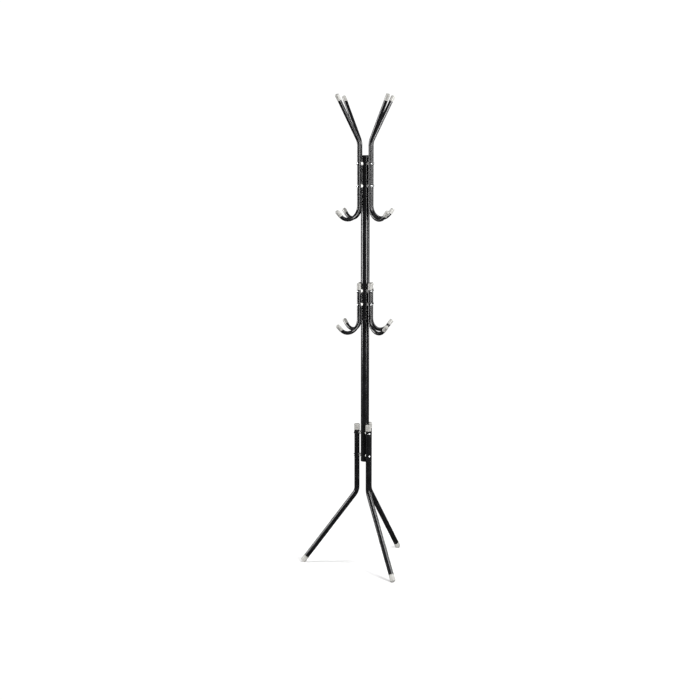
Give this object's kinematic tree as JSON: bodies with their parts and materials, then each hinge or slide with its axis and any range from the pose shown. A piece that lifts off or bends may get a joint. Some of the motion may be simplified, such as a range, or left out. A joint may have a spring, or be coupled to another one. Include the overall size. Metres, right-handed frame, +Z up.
{
  "type": "standing coat rack",
  "caption": "Slim standing coat rack: black tube pole on a tripod, with bent arms giving hat hooks and J coat hooks, a lower ring of J hooks, and pale tube caps.",
  "frame": {"origin": "on the floor, on the pole's axis", "axes": "+Z up along the pole, -Y towards the front leg"},
  "size_m": [0.4372, 0.3865, 1.8],
  "materials": {
    "black_paint": "gloss",
    "grey_plastic": "semi-gloss",
    "white_plastic": "semi-gloss",
    "zinc_steel": "bright zinc",
    "plated_nut": "yellow zinc",
    "black_plastic": "satin"
  },
  "bodies": {
    "root": {"pole_upper": "black_paint", "pole_lower": "black_paint", "pole_top_plug": "black_plastic", "pole_bottom_plug": "black_plastic", "upper_arm_1": "black_paint", "upper_arm_2": "black_paint", "upper_arm_3": "black_paint", "upper_arm_4": "black_paint", "lower_hook_1": "black_paint", "lower_hook_2": "black_paint", "lower_hook_3": "black_paint", "lower_hook_4": "black_paint", "leg_1": "black_paint", "leg_2": "black_paint", "leg_3": "black_paint", "hat_cap_1": "grey_plastic", "hat_cap_2": "grey_plastic", "hat_cap_3": "grey_plastic", "hat_cap_4": "grey_plastic", "coat_cap_1": "grey_plastic", "coat_cap_2": "grey_plastic", "coat_cap_3": "grey_plastic", "coat_cap_4": "grey_plastic", "hook_top_cap_1": "grey_plastic", "hook_top_cap_2": "grey_plastic", "hook_top_cap_3": "grey_plastic", "hook_top_cap_4": "grey_plastic", "hook_tip_cap_1": "grey_plastic", "hook_tip_cap_2": "grey_plastic", "hook_tip_cap_3": "grey_plastic", "hook_tip_cap_4": "grey_plastic", "leg_top_cap_1": "grey_plastic", "leg_top_cap_2": "grey_plastic", "leg_top_cap_3": "grey_plastic", "foot_cap_1": "grey_plastic", "foot_cap_2": "grey_plastic", "foot_cap_3": "grey_plastic", "arm_spacers_1": "white_plastic", "arm_spacers_2": "white_plastic", "arm_spacers_3": "white_plastic", "arm_spacers_4": "white_plastic", "hook_spacers_1": "white_plastic", "hook_spacers_2": "white_plastic", "hook_spacers_3": "white_plastic", "hook_spacers_4": "white_plastic", "leg_spacers_1": "white_plastic", "leg_spacers_2": "white_plastic", "leg_spacers_3": "white_plastic", "arm_screw_pair_1": "zinc_steel", "arm_screw_pair_2": "zinc_steel", "arm_screw_pair_3": "zinc_steel", "arm_screw_pair_4": "zinc_steel", "hook_screw_pair_1": "zinc_steel", "hook_screw_pair_2": "zinc_steel", "hook_screw_pair_3": "zinc_steel", "hook_screw_pair_4": "zinc_steel", "leg_screw_pair_1": "zinc_steel", "leg_screw_pair_2": "zinc_steel", "leg_screw_pair_3": "zinc_steel", "rivet_nuts": "plated_nut"}
  },
  "joints": []
}
